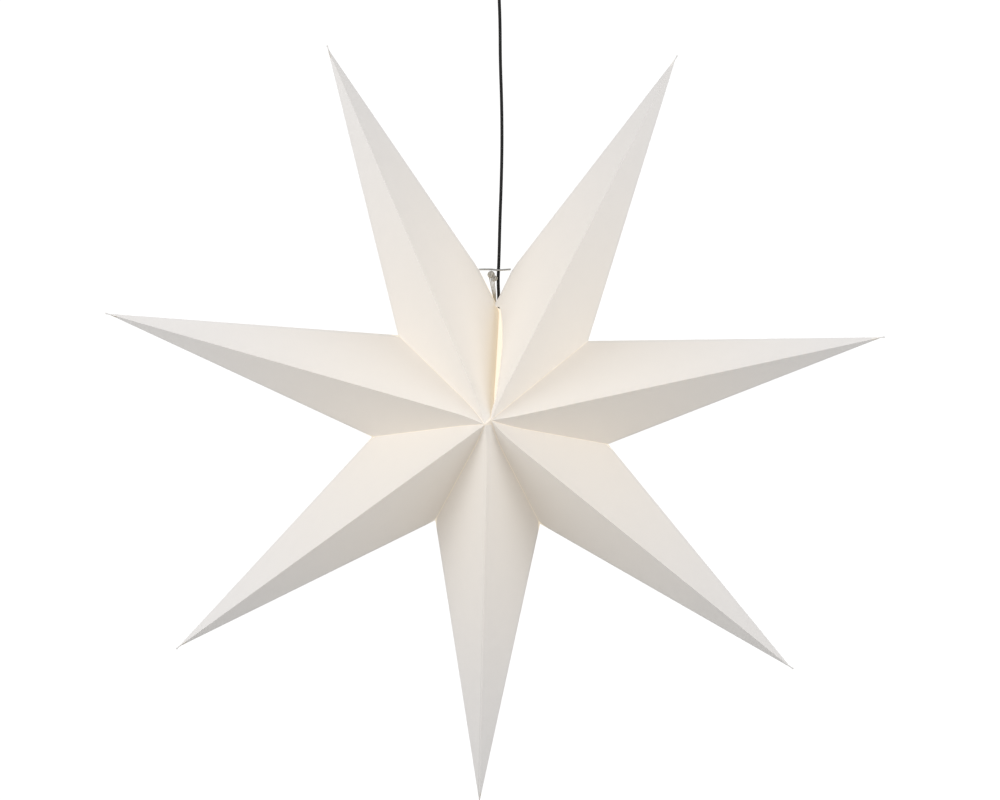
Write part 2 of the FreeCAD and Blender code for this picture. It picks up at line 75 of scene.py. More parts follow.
NODES = frame["nodes"]
JOINTS = {joint["child"]: joint for joint in frame["joints"]}
FOLD = next(joint for joint in frame["joints"] if joint["name"] == "star_fold")
STAR_CENTRE = Vector(FOLD["pos_m"])
STAR_AXIS = Vector(FOLD["axis"]).normalized()
LAMP_CENTRE = sum(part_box("bulb_globe"), Vector()) / 2

# The points in order round the star, anticlockwise from the one left of the slit.
POINTS = ("left_top", "left_mid", "left_low", "bottom", "right_low", "right_mid", "right_top")
SIDES = ("front_cw", "front_ccw", "back_cw", "back_ccw")
LEFT_FLANK = ("left_top", "cw")
RIGHT_FLANK = ("right_top", "ccw")

# The cord's way from the ceiling ball's neck to the lampholder's grip, in the plane y = 0.
CORD_ROUTE = (
    (0.0, -0.03764),
    (0.0, -0.072),
    (0.0016, -0.112),
    (0.0018, -0.160),
    (0.0036, -0.210),
    (0.0041, -0.262),
    (0.0031, -0.312),
    (0.0013, -0.360),
    (0.0004, -0.402),
    (-0.0010, -0.432),
    (0.0, -0.454),
    (0.0, -0.472),
)


# -------- sizes and colours


def length(name, description, default):
    """A length that a user may change, in metres."""
    return FloatProperty(
        name=name, description=description, default=default, subtype="DISTANCE", unit="LENGTH"
    )


def angle(name, description, degrees):
    """An angle that a user may change, given in degrees."""
    return FloatProperty(
        name=name, description=description, default=math.radians(degrees), subtype="ANGLE"
    )


def power(name, description, default):
    """A light's power that a user may change, in watts."""
    return FloatProperty(name=name, description=description, default=default, unit="POWER")


def colour(name, description, default):
    """A colour that a user may change."""
    return FloatVectorProperty(name=name, description=description, default=default, size=3, subtype="COLOR")


class PaperSizes(bpy.types.PropertyGroup):
    """The folded card of the star."""

    thickness: length("Thickness", "Thickness of the card", 0.0003)
    bow: length("Bow", "How far a panel's middle bends inwards between its folds", 0.0006)
    slit_width: length("Slit width", "Widest opening between the two flaps in front of the lamp", 0.0070)
    slit_clearance: length("Slit clearance", "Opening where the two flaps pinch together", 0.0009)
    slit_shift: length("Slit shift", "How far the slit runs to the right of the star's middle line", 0.0060)
    lip_width: length("Lip width", "Width of the left flap's margin behind the right flap", 0.020)
    lip_depth: length("Lip depth", "How far inwards that margin leans", 0.0020)
    hub_split: length("Hub split", "Half the sideways step between the folds beside the slit", 0.0036)
    hub_rise: length("Hub rise", "Half the step in height between them", 0.0026)
    hub_reach: length("Hub reach", "Distance from the hub over which the folds come back in line", 0.045)
    curl: length("Curl", "How far a flap's free edge curls inwards", 0.0055)
    curl_width: length("Curl width", "Width of the curl along a flap's free edge", 0.055)
    mouth: length("Mouth", "How far the flaps stand off the middle plane where the cord goes in", 0.0052)
    mouth_reach: length("Mouth reach", "Distance from the notch over which the mouth closes", 0.060)
    corner_drop: length("Corner drop", "How far the flaps' corners are pulled in towards the hub", 0.0150)
    # The crease line's pale colour is a painted highlight, and its glow is painted lamplight.
    crease_light_width: length("Crease width", "Width of the pale line along a crease", 0.0007)
    cells: IntProperty(name="Cells", description="Cells along each edge of a panel", default=32)
    card: colour("Card", "Colour of the card", (0.864, 0.850, 0.846))
    glow: colour("Glow", "Colour of the lamp's light through the card", (0.38, 0.26, 0.12))
    inside: colour("Inside", "Colour of the lamplit inside", (1.0, 0.86, 0.62))
    lip: colour("Lip", "Colour of the lamplit strip behind the slit", (0.95, 0.91, 0.80))


class HangerSizes(bpy.types.PropertyGroup):
    """The wire bar and the string tied to it."""

    bar_step: length("Bar step", "Step in the middle of the wire bar", 0.0011)
    bar_radius: length("Bar radius", "Radius of the wire", 0.0012)
    strand_radius: length("Strand radius", "Radius of one strand of the string", 0.00055)
    wire: colour("Wire", "Colour of the drawn wire", (0.60, 0.60, 0.59))
    string: colour("String", "Colour of the string", (0.60, 0.57, 0.51))


class CordSizes(bpy.types.PropertyGroup):
    """The mains cord."""

    length: length("Length", "Length from the ceiling ball to the grip", 0.4345)
    diameter: length("Diameter", "Diameter of the sheath", 0.004)
    sheath: colour("Sheath", "Colour of the sheath", (0.005, 0.005, 0.0052))


class LampSizes(bpy.types.PropertyGroup):
    """The lampholder and the bulb."""

    flutes: IntProperty(name="Flutes", description="Grip flutes round the lampholder", default=24)
    flute_depth: length("Flute depth", "Depth of a grip flute", 0.0007)
    thread_pitch: length("Thread pitch", "Pitch of the bulb's screw thread", 0.0029)
    thread_depth: length("Thread depth", "Depth of the bulb's screw thread", 0.0006)
    plastic: colour("Plastic", "Colour of the moulded black plastic", (0.018, 0.018, 0.019))
    opal: colour("Opal", "Colour of the lit opal glass", (1.0, 0.80, 0.52))


class StageSizes(bpy.types.PropertyGroup):
    """Camera, lights, floor and backdrop."""

    azimuth: angle("Azimuth", "Camera's turn round the star", 1.2)
    elevation: angle("Elevation", "Camera's height angle", 4.29)
    distance: length("Distance", "Camera to the star's centre", 2.4)
    lens: FloatProperty(
        name="Lens", description="Focal length in millimetres", default=68.5, subtype="DISTANCE_CAMERA"
    )
    floor_drop: length("Floor drop", "Floor below the ceiling", 2.3)
    left_power: power("Left light", "Power of the soft light at the left", 24.8)
    right_power: power("Right light", "Power of the soft light at the right", 20.8)
    back_power: power("Back light", "Power of the soft light behind", 12.0)
    ambient: FloatProperty(
        name="Ambient", description="Strength of the even light all round", default=0.47
    )


class PaperStarSettings(bpy.types.PropertyGroup):
    """Everything that a user of the star would change."""

    paper: PointerProperty(type=PaperSizes)
    hanger: PointerProperty(type=HangerSizes)
    cord: PointerProperty(type=CordSizes)
    lamp: PointerProperty(type=LampSizes)
    stage: PointerProperty(type=StageSizes)


# -------- materials


class Value:
    """A number from a node: arithmetic on it adds Math nodes."""

    def __init__(self, finish, socket):
        self.finish = finish
        self.socket = socket

    def __add__(self, other):
        return self.finish.maths("ADD", self, other)

    def __radd__(self, other):
        return self.finish.maths("ADD", other, self)

    def __rsub__(self, other):
        return self.finish.maths("SUBTRACT", other, self)

    def __mul__(self, other):
        return self.finish.maths("MULTIPLY", self, other)

    def __rmul__(self, other):
        return self.finish.maths("MULTIPLY", other, self)


class Finish:
    """A material's nodes, from its coordinates to its Principled shader."""

    def __init__(self, name, **constants):
        self.material = bpy.data.materials.new(name)
        self.material.use_nodes = True
        self.tree = self.material.node_tree
        self.shader = self.tree.nodes["Principled BSDF"]
        for socket, value in constants.items():
            self.shader.inputs[socket.replace("_", " ").title().replace("Ior", "IOR")].default_value = value

    def add(self, kind, settings=None, inputs=None, output=0):
        """A node with its settings, then its sockets' values and links; gives one of its outputs."""
        node = self.tree.nodes.new("ShaderNode" + kind)
        for key, setting in (settings or {}).items():
            setattr(node, key, setting)
        for key, value in (inputs or {}).items():
            self.join(value, node.inputs[key])
        return Value(self, node.outputs[output])

    def join(self, value, socket):
        """Set a socket to a number or colour, or link it."""
        if isinstance(value, Value):
            self.tree.links.new(value.socket, socket)
        else:
            socket.default_value = value

    def maths(self, operation, first, second=0.0):
        return self.add("Math", {"operation": operation}, {0: first, 1: second})

    def place(self, scale=1.0):
        """The piece's own place in space, stretched by a number or by three."""
        spread = (scale,) * 3 if isinstance(scale, (int, float)) else scale
        coordinates = self.add("TexCoord", output="Object")
        return self.add("Mapping", None, {"Vector": coordinates, "Scale": spread})

    def noise(self, scale, detail=2.0, rough=0.5, stretch=1.0):
        """Cloudy noise from about 0 to 1."""
        inputs = {"Vector": self.place(stretch), "Scale": scale, "Detail": detail, "Roughness": rough}
        return self.add("TexNoise", None, inputs)

    def ramp(self, value, low, high, start=0.0, end=1.0):
        """A number led smoothly from start to end between low and high."""
        settings = {"interpolation_type": "SMOOTHSTEP"}
        inputs = {"Value": value, "From Min": low, "From Max": high, "To Min": start, "To Max": end}
        return self.add("MapRange", settings, inputs)

    def blend(self, factor, first, second):
        """Two colours mixed by a factor."""
        one = first if isinstance(first, Value) else (*first, 1.0)
        two = second if isinstance(second, Value) else (*second, 1.0)
        return self.add("Mix", {"data_type": "RGBA"}, {0: factor, 6: one, 7: two}, output=2)

    def mark(self, name):
        """A number that the mesh carries under that name."""
        return self.add("Attribute", {"attribute_name": name}, output="Fac")

    def bump(self, height, distance, strength=1.0):
        """Feed a height to the shader's normal."""
        bumped = self.add("Bump", None, {"Height": height, "Distance": distance, "Strength": strength})
        self.join(bumped, self.shader.inputs["Normal"])

    def feed(self, **sockets):
        """Link values to the shader's sockets."""
        for name, value in sockets.items():
            self.join(value, self.shader.inputs[name.replace("_", " ").title()])


def tint(base, factor):
    """A colour made darker or lighter."""
    return tuple(channel * factor for channel in base)


# How strongly lamplit card glows, as a distance and a share near the lamp, then far from it.
OUTSIDE_GLOW = ((0.08, 1.0), (0.58, 0.0))
INSIDE_GLOW = ((0.12, 0.26), (0.55, 0.10))
LIP_GLOW = ((0.05, 0.42), (0.30, 0.30))

# Shares of that glow which the outer face lets through: plain card, a crease, and a glued lap.
CARD_GLOW = 0.17
CREASE_GLOW = 0.32
LAP_GLOW = 0.45

# Where the glued laps end, and where the painted shadow line at a seam's edge rises and falls beside a
# ridge.
LAP_EDGE = (0.0035, 0.0055)
SEAM_SHADOW_RISE = (0.0020, 0.0026)
SEAM_SHADOW_FALL = (0.0028, 0.0036)


def lamp_ramp(finish, glow):
    """A number that falls with the surface's distance from the lamp."""
    (near, bright), (far, dim) = glow
    ends = {0: finish.add("TexCoord", output="Object"), 1: LAMP_CENTRE}
    away = finish.add("VectorMath", {"operation": "DISTANCE"}, ends, output="Value")
    return finish.ramp(away, near, far, bright, dim)


def card_outside(sizes, seam=False):
    """Warm white card: fine fibres, soft clouds, a painted highlight along the creases, with a seam a
    painted shadow line beside the ridge, and lamplight that fades outwards, painted as glow and as a warmer
    base colour near the lamp.
    """
    finish = Finish("card_outside", roughness=0.82, specular_ior_level=0.22, emission_strength=1.0)
    fibres = finish.noise(1400.0, 4.0, 0.65, (1.0, 1.0, 0.45))
    clouds = finish.noise(55.0, 3.0)
    # Masks along the valleys and ridges, for a painted highlight in the base colour and painted lamplight in
    # the glow.
    crease = 1.0 - finish.ramp(finish.mark("to_valley"), 0.3 * sizes.crease_light_width, sizes.crease_light_width)
    ridge = 1.0 - finish.ramp(finish.mark("to_ridge"), 0.2 * sizes.crease_light_width, sizes.crease_light_width)
    base = finish.blend(fibres * 0.6 + clouds * 0.4, tint(sizes.card, 0.965), tint(sizes.card, 1.03))
    # Painted highlight: the card paler along the creases and ridges.
    base = finish.blend((crease + ridge) * 0.35, base, tint(sizes.card, 1.08))
    if seam:
        from_ridge = finish.mark("to_ridge")
        # Painted shadow: a grey line beside the ridge where the seam's edge lies.
        line = finish.ramp(from_ridge, *SEAM_SHADOW_RISE) * finish.ramp(from_ridge, *SEAM_SHADOW_FALL, 1.0, 0.0)
        base = finish.blend(line, base, tint(sizes.card, 0.80))
    near = lamp_ramp(finish, OUTSIDE_GLOW)
    red, green, blue = sizes.card
    # Painted lamplight: the base colour turns warmer near the lamp.
    base = finish.blend(near * near, base, (red, 0.985 * green, 0.95 * blue))
    lap = finish.ramp(finish.mark("to_side"), *LAP_EDGE, LAP_GLOW, 1.0)
    cloudy = 0.9 + 0.2 * clouds
    light = near * lap * cloudy * CARD_GLOW + crease * (near * CREASE_GLOW)
    finish.feed(base_color=base, emission_color=finish.blend(light, (0.0, 0.0, 0.0), sizes.glow))
    finish.feed(roughness=0.78 + 0.1 * fibres)
    finish.bump(fibres * 0.6 + 0.4 * clouds, 0.00018)
    return finish.material


def lamplit_card(name, sizes, light, glow):
    """Card that shows a lamplit face, glowing in the given colour."""
    finish = Finish(name, roughness=0.85, specular_ior_level=0.2, emission_strength=1.0)
    fibres = finish.noise(1400.0, 3.0)
    near = lamp_ramp(finish, glow)
    lit = finish.blend(near * (0.95 + 0.1 * fibres), (0.0, 0.0, 0.0), light)
    finish.feed(base_color=finish.blend(fibres, tint(sizes.card, 0.96), sizes.card), emission_color=lit)
    finish.bump(fibres, 0.0002)
    return finish.material


def pressed_card(sizes):
    """The flattened end of a point: greyer card in pressed layers."""
    finish = Finish("pressed_card", roughness=0.8, specular_ior_level=0.25)
    fibres = finish.noise(1600.0, 4.0)
    layers = finish.noise(2600.0, 2.0, 0.5, (0.2, 1.0, 0.2))
    base = finish.blend(fibres * 0.5 + layers * 0.5, tint(sizes.card, 0.80), tint(sizes.card, 0.98))
    finish.feed(base_color=base, roughness=0.74 + 0.12 * fibres)
    finish.bump(layers * 0.6 + fibres * 0.4, 0.0003)
    return finish.material


def drawn_wire(sizes):
    """Bright wire with fine drawing lines along it and dull patches."""
    finish = Finish("drawn_wire", metallic=1.0)
    lines = finish.noise(3000.0, 2.0, 0.5, (0.03, 1.0, 1.0))
    patches = finish.noise(240.0, 3.0)
    base = finish.blend(patches, tint(sizes.wire, 0.75), tint(sizes.wire, 1.15))
    finish.feed(base_color=base, roughness=0.24 + 0.22 * patches)
    finish.bump(lines, 0.00005)
    return finish.material


def twisted_string(sizes):
    """Cream string: plies winding round each strand, with painted shade in the grooves between them, and
    loose fluff.
    """
    finish = Finish("twisted_string", roughness=0.92, specular_ior_level=0.15, sheen_weight=0.3)
    plies = finish.add(
        "TexWave",
        {"wave_type": "BANDS", "bands_direction": "DIAGONAL"},
        {"Vector": finish.place(), "Scale": 620.0, "Distortion": 1.5, "Detail": 1.0},
        output="Fac",
    )
    fluff = finish.noise(2200.0, 4.0, 0.7)
    # The colour darkens where the plies' bump is low: painted shade in the grooves; the fluff's tone is the
    # string's own.
    base = finish.blend(plies * 0.7 + fluff * 0.3, tint(sizes.string, 0.62), tint(sizes.string, 1.12))
    finish.feed(base_color=base)
    finish.bump(plies * 0.7 + fluff * 0.5, 0.0003)
    return finish.material


def black_sheath(sizes):
    """The cord's smooth sheath: satin black with faint dust and handling marks."""
    finish = Finish("black_sheath", specular_ior_level=0.25)
    dust = finish.noise(900.0, 4.0, 0.7)
    marks = finish.noise(70.0, 3.0)
    base = finish.blend(dust * marks, sizes.sheath, tint(sizes.sheath, 2.0))
    finish.feed(base_color=base, roughness=0.48 + 0.2 * marks)
    finish.bump(dust, 0.00003)
    return finish.material


def black_plastic(name, base, grain, shine):
    """Moulded plastic: a fine spark grain and uneven gloss."""
    finish = Finish(name, specular_ior_level=0.5)
    sparks = finish.noise(grain, 3.0, 0.6)
    smears = finish.noise(45.0, 3.0)
    finish.feed(
        base_color=finish.blend(smears, tint(base, 0.8), tint(base, 1.5)),
        roughness=shine + 0.18 * smears,
    )
    finish.bump(sparks, 0.00005)
    return finish.material


def pale_plastic():
    """The terminal block's translucent white plastic."""
    finish = Finish("terminal_white", roughness=0.45, subsurface_weight=0.2, subsurface_scale=0.002)
    haze = finish.noise(300.0, 3.0)
    finish.feed(base_color=finish.blend(haze, (0.62, 0.62, 0.58), (0.78, 0.78, 0.74)))
    finish.bump(haze, 0.00006)
    return finish.material


def unglazed_ceramic():
    """The lampholder insert's off-white porcelain, slightly pitted."""
    finish = Finish("holder_ceramic", roughness=0.6, specular_ior_level=0.4)
    pits = finish.noise(1300.0, 4.0, 0.6)
    stain = finish.noise(120.0, 3.0)
    finish.feed(
        base_color=finish.blend(stain, (0.66, 0.62, 0.54), (0.82, 0.79, 0.72)),
        roughness=0.5 + 0.25 * pits,
    )
    finish.bump(pits, 0.00015)
    return finish.material


def plated_metal(name, base, stretch):
    """Plated metal with drawing or rolling lines and a few dull spots."""
    finish = Finish(name, metallic=1.0)
    lines = finish.noise(1500.0, 2.0, 0.5, stretch)
    spots = finish.noise(180.0, 3.0)
    finish.feed(
        base_color=finish.blend(spots, tint(base, 0.78), tint(base, 1.1)),
        roughness=0.2 + 0.2 * spots + 0.12 * lines,
    )
    finish.bump(lines, 0.00005)
    return finish.material


def lit_opal(sizes):
    """Opal glass with the lamp on: even warm light, a little dimmer towards the top."""
    finish = Finish("lit_opal", roughness=0.12, coat_weight=0.6, emission_strength=1.0)
    reach = 0.03
    top, bottom = LAMP_CENTRE.z + reach, LAMP_CENTRE.z - reach
    height = finish.add("SeparateXYZ", None, {"Vector": finish.add("TexCoord", output="Object")}, output="Z")
    haze = finish.noise(90.0, 2.0)
    lit = finish.ramp(height, bottom, top, 1.0, 0.8) * (0.95 + 0.1 * haze)
    finish.feed(
        base_color=finish.blend(haze, (0.88, 0.86, 0.80), (0.95, 0.94, 0.90)),
        emission_color=finish.blend(lit, (0.0, 0.0, 0.0), sizes.opal),
    )
    return finish.material


# -------- shapes


def object_from(mesh_maker, name):
    """A new object at the origin from a filled bmesh."""
    mesh = bpy.data.meshes.new(name)
    mesh_maker.to_mesh(mesh)
    mesh_maker.free()
    piece = bpy.data.objects.new(name, mesh)
    bpy.context.scene.collection.objects.link(piece)
    return piece


def settle(piece, body, materials, sharp=None, stands_for=()):
    """Give a piece its shading, finish, body and the nodes that it stands for."""
    for material in materials:
        piece.data.materials.append(material)
    if sharp is not None:
        piece.data.shade_smooth()
        piece.data.set_sharp_from_angle(angle=math.radians(sharp))
    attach(piece, body)
    if stands_for:
        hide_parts(*stands_for)
    return piece


def fitted(shape, name, body, material, sharp, node):
    """A piece with one finish from a filled bmesh, in place of a CAD node."""
    return settle(object_from(shape, name), body, (material,), sharp, (node,))


def dress(node, material):
    """Give a CAD node its finish."""
    piece = NODES[node]
    for slot in piece.material_slots:
        slot.material = material
    if not piece.material_slots:
        piece.data.materials.append(material)


def round_edges(shape, least, offset, segments, clamp):
    """Round the edges whose faces meet at more than an angle, in radians."""
    sharp = [edge for edge in shape.edges if edge.is_manifold and edge.calc_face_angle() > least]
    settings = {"offset": offset, "segments": segments, "profile": 0.5, "clamp_overlap": clamp}
    bmesh.ops.bevel(shape, geom=sharp, affect="EDGES", material=-1, **settings)


def round_node(node):
    """A round CAD node's foot, radius and height."""
    low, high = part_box(node)
    return low.z, (high.x - low.x) / 2, high.z - low.z


def grooved(shape, foot, wall, low, high, end, depth, count, climb=0.0):
    """Press grooves into a turned wall between two heights: a count round it, each climbing as it turns."""
    for vert in shape.verts:
        height = vert.co.z - foot
        reach = math.hypot(vert.co.x, vert.co.y)
        if reach < wall or not low <= height <= high:
            continue
        fade = smooth(min(height - low, high - height) / end)
        wave = 0.5 - 0.5 * math.cos(math.atan2(vert.co.y, vert.co.x) * count + height * climb)
        scale = 1 - depth * fade * wave / reach
        vert.co = (vert.co.x * scale, vert.co.y * scale, vert.co.z)


def turned(profile, centre, segments=64, soft=0.0):
    """A bmesh turned about a vertical line from (radius, height) pairs, its edges rounded by soft."""
    shape = bmesh.new()
    spots = [shape.verts.new((radius, 0.0, height)) for radius, height in profile]
    for first, second in zip(spots, spots[1:]):
        shape.edges.new((first, second))
    geometry = shape.verts[:] + shape.edges[:]
    around = {"cent": (0, 0, 0), "axis": (0, 0, 1), "angle": 2 * math.pi}
    bmesh.ops.spin(shape, geom=geometry, steps=segments, use_merge=True, **around)
    bmesh.ops.remove_doubles(shape, verts=shape.verts[:], dist=1e-6)
    bmesh.ops.recalc_face_normals(shape, faces=shape.faces[:])
    if soft:
        round_edges(shape, 0.6, soft, 3, True)
    bmesh.ops.translate(shape, verts=shape.verts[:], vec=centre)
    return shape


def round_line(name, spots, radius, rounding, resolution, closed=False):
    """A curve object: a round line drawn smoothly along a few points."""
    data = bpy.data.curves.new(name, "CURVE")
    data.dimensions = "3D"
    data.bevel_depth = radius
    data.bevel_resolution = rounding
    data.use_fill_caps = True
    line = data.splines.new("NURBS")
    line.points.add(len(spots) - 1)
    for spot, place in zip(line.points, spots):
        spot.co = (*place, 1.0)
    line.order_u = 3
    line.use_cyclic_u = closed
    line.use_endpoint_u = not closed
    line.resolution_u = resolution
    curve = bpy.data.objects.new(name, data)
    bpy.context.scene.collection.objects.link(curve)
    return curve


def rod(name, spots, radius, closed=False):
    """A round rod along a smooth line through a few points, as a mesh object."""
    curve = round_line(name + "_line", spots, radius, 4, 8, closed)
    bpy.context.view_layer.update()
    evaluated = curve.evaluated_get(bpy.context.evaluated_depsgraph_get())
    mesh = bpy.data.meshes.new_from_object(evaluated)
    bpy.data.objects.remove(curve)
    mesh.name = name
    piece = bpy.data.objects.new(name, mesh)
    bpy.context.scene.collection.objects.link(piece)
    return piece


def joined(name, pieces):
    """Several mesh objects as one."""
    shape = bmesh.new()
    for piece in pieces:
        shape.from_mesh(piece.data)
        bpy.data.objects.remove(piece)
    return object_from(shape, name)


# -------- star geometry


def tip_of(point):
    """Where a point's panels meet at its tip."""
    return Vector(JOINTS["sheet_%s_front_cw" % point]["pos_m"])


def panel_corners(point, side):
    """Hub, tip and notch of a panel: where its plane meets the star's axis and its folds."""
    step = 1 if side.endswith("_ccw") else -1
    neighbour = POINTS[(POINTS.index(point) + step) % len(POINTS)]
    tip = tip_of(point)
    face = max(NODES[point + "_" + side].data.polygons, key=lambda polygon: polygon.area)
    reach = (tip - STAR_CENTRE).dot(face.normal)
    towards = (tip + tip_of(neighbour) - 2 * STAR_CENTRE).normalized()
    hub = STAR_CENTRE + STAR_AXIS * (reach / STAR_AXIS.dot(face.normal))
    notch = STAR_CENTRE + towards * (reach / towards.dot(face.normal))
    return hub, tip, notch


def distance_to_line(spot, start, end):
    """Distance of a point from the line through two others."""
    along = (end - start).normalized()
    return (spot - start).cross(along).length


def smooth(share):
    """Smooth step from 0 to 1."""
    share = min(1.0, max(0.0, share))
    return share * share * (3 - 2 * share)


# A panel's three shares multiply to one over this in its middle.
MIDDLE = 27

# The flaps beside the slit, in shares of a panel's height, of the left flap's bend or of the valley.
HELD = 0.18  # stays flat next to the ridge
RIGHT_CURL, RIGHT_DROP = 0.35, 1.45  # the right flap's curl and corner drop beside the left one's
CURL_END, CURL_PUSH, CURL_ROUND = 0.96, 1.04, 1.5
DROP_FADE = 1.4  # how much sooner the corner drop fades than the mouth does
LEAN = (0.85, 0.35)  # the slit's shift at the hub, and its gain on the way to the notch
EDGE_EASE = 0.08  # length over which the edges come back at the notch
LEFT_KEEPS, RIGHT_KEEPS = (0.35, 0.65), (0.1, 0.9)  # what stays of the shift there, and what goes
PINCH, OPENING_ROUND = 0.90, 1.3  # where the opening pinches shut, and how late it is widest

# The left flap's margin along the valley: its start, length, narrow share, widening and cells.
LIP_START, LIP_LENGTH, LIP_NARROW, LIP_ROUND, LIP_STEPS = 0.03, 0.94, 0.25, 1.2, 28


class Panel:
    """One triangle of the star's card, with its folds and its way of bending."""

    def __init__(self, point, side, sizes):
        self.point = point
        self.sizes = sizes
        self.hub, self.tip, self.notch = panel_corners(point, side)
        normal = (self.tip - self.hub).cross(self.notch - self.hub).normalized()
        self.outward = normal if normal.dot(self.hub - STAR_CENTRE) > 0 else -normal
        turn = side.split("_")[1]
        self.left_flank = (point, turn) == LEFT_FLANK
        self.right_flank = (point, turn) == RIGHT_FLANK
        self.crosses_hub = self.left_flank or (point, turn) == ("bottom", "ccw")
        self.hub_step = Vector((sizes.hub_split, 0.0, sizes.hub_rise))
        valley = (self.notch - self.hub).normalized()
        off_valley = (self.tip - self.hub) - valley * (self.tip - self.hub).dot(valley)
        self.from_slit = off_valley.normalized()
        self.ridge_height = distance_to_line(self.notch, self.hub, self.tip)
        self.side_height = distance_to_line(self.hub, self.tip, self.notch)
        self.valley_height = distance_to_line(self.tip, self.hub, self.notch)

    def marks(self, spot):
        """Distances of a flat spot from the ridge, the side edge and the valley."""
        return (
            distance_to_line(spot, self.hub, self.tip),
            distance_to_line(spot, self.tip, self.notch),
            distance_to_line(spot, self.hub, self.notch),
        )

    def bent(self, spot):
        """Where a flat spot of the panel lies once the card has bent."""
        to_ridge, to_side, to_valley = self.marks(spot)
        shares = (to_ridge / self.ridge_height, to_side / self.side_height, to_valley / self.valley_height)
        place = spot - self.outward * (MIDDLE * shares[0] * shares[1] * shares[2] * self.sizes.bow)
        place += self.hub_shift(spot, to_ridge, to_valley)
        if not (self.left_flank or self.right_flank):
            return place
        valley = self.notch - self.hub
        along = min(1.0, max(0.0, (spot - self.hub).dot(valley) / valley.length_squared))
        held = smooth(to_ridge / (HELD * self.ridge_height))
        near = max(0.0, 1 - to_valley / self.sizes.curl_width)
        sway = math.sin(math.pi * min(1.0, along * CURL_PUSH)) if along < CURL_END else 0.0
        most = self.sizes.curl if self.left_flank else RIGHT_CURL * self.sizes.curl
        curl = most * sway ** CURL_ROUND * held * near ** 3
        sideways = self.edge_place(along) * held * near * near + self.outward.x * curl
        place += self.from_slit * (sideways / self.from_slit.x) - self.outward * curl
        corner = (spot - self.notch).length / self.sizes.mouth_reach
        drop = self.sizes.corner_drop * (1.0 if self.left_flank else RIGHT_DROP)
        place -= valley.normalized() * (drop * (1 - smooth(DROP_FADE * corner)))
        depth = 1.0 if self.outward.dot(STAR_AXIS) > 0 else -1.0
        return place + STAR_AXIS * (depth * self.sizes.mouth * (1 - smooth(corner)))

    def hub_shift(self, spot, to_ridge, to_valley):
        """Sideways shift near the hub, so that the folds left and right of the slit miss each other."""
        off_axis = (spot - STAR_CENTRE) - STAR_AXIS * (spot - STAR_CENTRE).dot(STAR_AXIS)
        fade = max(0.0, 1 - off_axis.length / self.sizes.hub_reach)
        side = 1.0 if self.point.startswith("right") else -1.0
        if self.crosses_hub and to_ridge > 0:
            side = 2 * to_ridge / (to_ridge + to_valley) - 1
        return self.hub_step * (side * fade * fade)

    def edge_place(self, along):
        """How far to the right of the star's middle line the flap's free edge runs."""
        shift = self.sizes.slit_shift * (LEAN[0] + LEAN[1] * along)
        ease = smooth((1 - along) / EDGE_EASE)
        if self.left_flank:
            return shift * (LEFT_KEEPS[0] + LEFT_KEEPS[1] * ease)
        shift *= RIGHT_KEEPS[0] + RIGHT_KEEPS[1] * ease
        wide = math.sin(math.pi * min(1.0, along / PINCH) ** OPENING_ROUND)
        return shift + max(self.sizes.slit_clearance * ease, self.sizes.slit_width * wide)


def panel_mesh(panel):
    """A thin closed sheet: the outer face and, a thickness inside it, the inner face with slot 1."""
    sizes = panel.sizes
    shape = bmesh.new()
    corners = [shape.verts.new(corner) for corner in (panel.hub, panel.tip, panel.notch)]
    shape.faces.new(corners)
    bmesh.ops.subdivide_edges(shape, edges=shape.edges[:], cuts=sizes.cells - 1, use_grid_fill=True)
    corner_cells = [face for face in shape.faces if sum(edge.is_boundary for edge in face.edges) == 2]
    across = [edge for face in corner_cells for edge in face.edges if not edge.is_boundary]
    bmesh.ops.subdivide_edges(shape, edges=across, cuts=1)
    layers = [shape.verts.layers.float.new(name) for name in ("to_ridge", "to_side", "to_valley")]
    for vert in shape.verts:
        for layer, mark in zip(layers, panel.marks(vert.co)):
            vert[layer] = mark
    shape.faces.ensure_lookup_table()
    shape.normal_update()
    if shape.faces[0].normal.dot(panel.outward) < 0:
        bmesh.ops.reverse_faces(shape, faces=shape.faces[:])
    copied = bmesh.ops.duplicate(shape, geom=shape.verts[:] + shape.edges[:] + shape.faces[:])["geom"]
    inner_faces = [item for item in copied if isinstance(item, bmesh.types.BMFace)]
    inner_verts = [item for item in copied if isinstance(item, bmesh.types.BMVert)]
    bmesh.ops.reverse_faces(shape, faces=inner_faces)
    for face in inner_faces:
        face.material_index = 1
    inner = set(inner_verts)
    taper = 8 * sizes.thickness
    for vert in shape.verts:
        edge_distance = min(vert[layer] for layer in layers)
        inset = sizes.thickness * smooth(edge_distance / taper) if vert in inner else 0.0
        vert.co = panel.bent(vert.co) - panel.outward * inset
    if panel.crosses_hub:
        bridge_hub(shape, panel, inner)
    bmesh.ops.remove_doubles(shape, verts=shape.verts[:], dist=1e-7)
    return shape


def bridge_hub(shape, panel, inner):
    """Fill the little triangle between the hub's two corners."""
    to_valley = shape.verts.layers.float["to_valley"]
    corner = min(set(shape.verts) - inner, key=lambda vert: (vert.co - panel.bent(panel.hub)).length)
    beside = [edge.other_vert(corner) for edge in corner.link_edges]
    side = min(beside, key=lambda vert: vert[to_valley])
    made = shape.verts.new(corner.co + 2 * panel.hub_step)
    face = shape.faces.new((corner, made, side))
    face.smooth = True
    face.normal_update()
    if face.normal.dot(panel.outward) < 0:
        face.normal_flip()


